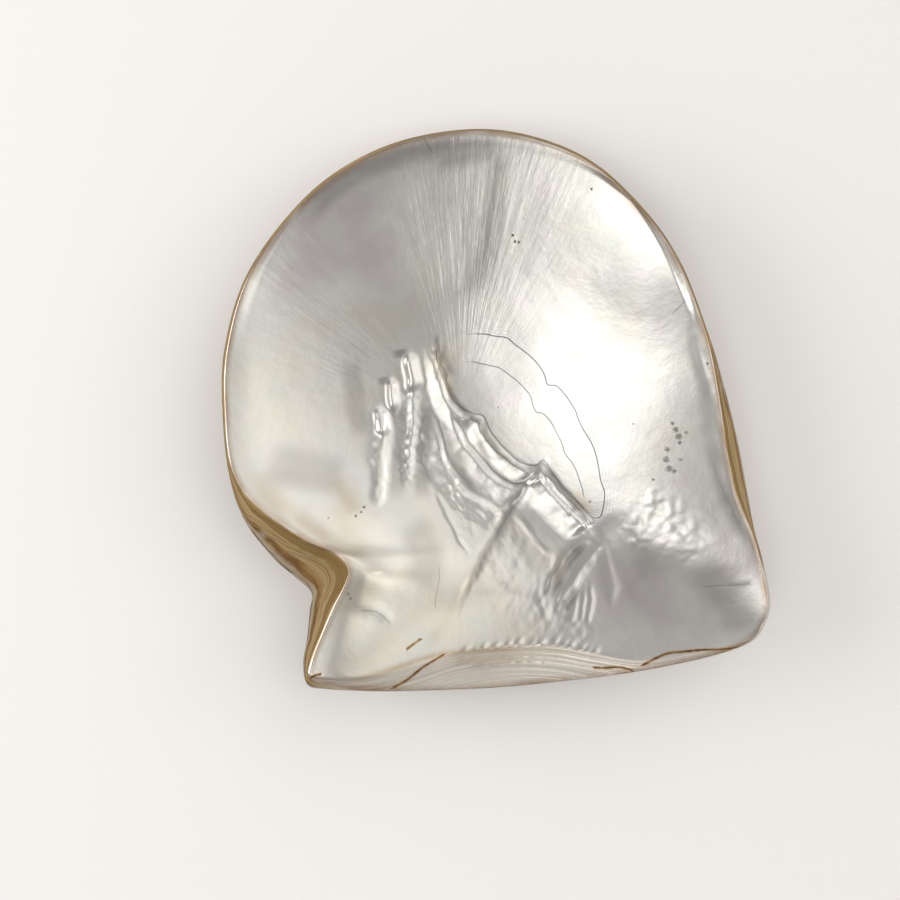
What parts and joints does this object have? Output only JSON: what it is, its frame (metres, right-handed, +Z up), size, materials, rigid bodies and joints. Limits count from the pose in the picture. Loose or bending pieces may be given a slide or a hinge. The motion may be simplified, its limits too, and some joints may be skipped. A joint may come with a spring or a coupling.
{
  "type": "pearl oyster shell valve",
  "caption": "Single rounded bivalve valve lying on its convex side: shallow polished hollow with stepped scar ridges, straight hinge side, and a notch beside a small ear.",
  "frame": {"origin": "centre of the bounding box's underside, on the surface that the valve lies on", "axes": "+Z up out of the hollow, +Y from the hinge towards the opposite margin, +X towards the margin away from the byssal notch"},
  "size_m": [0.1694, 0.1748, 0.0297],
  "materials": {
    "nacre": "polished nacre, pearly"
  },
  "bodies": {
    "root": {"valve": "nacre"}
  },
  "joints": []
}
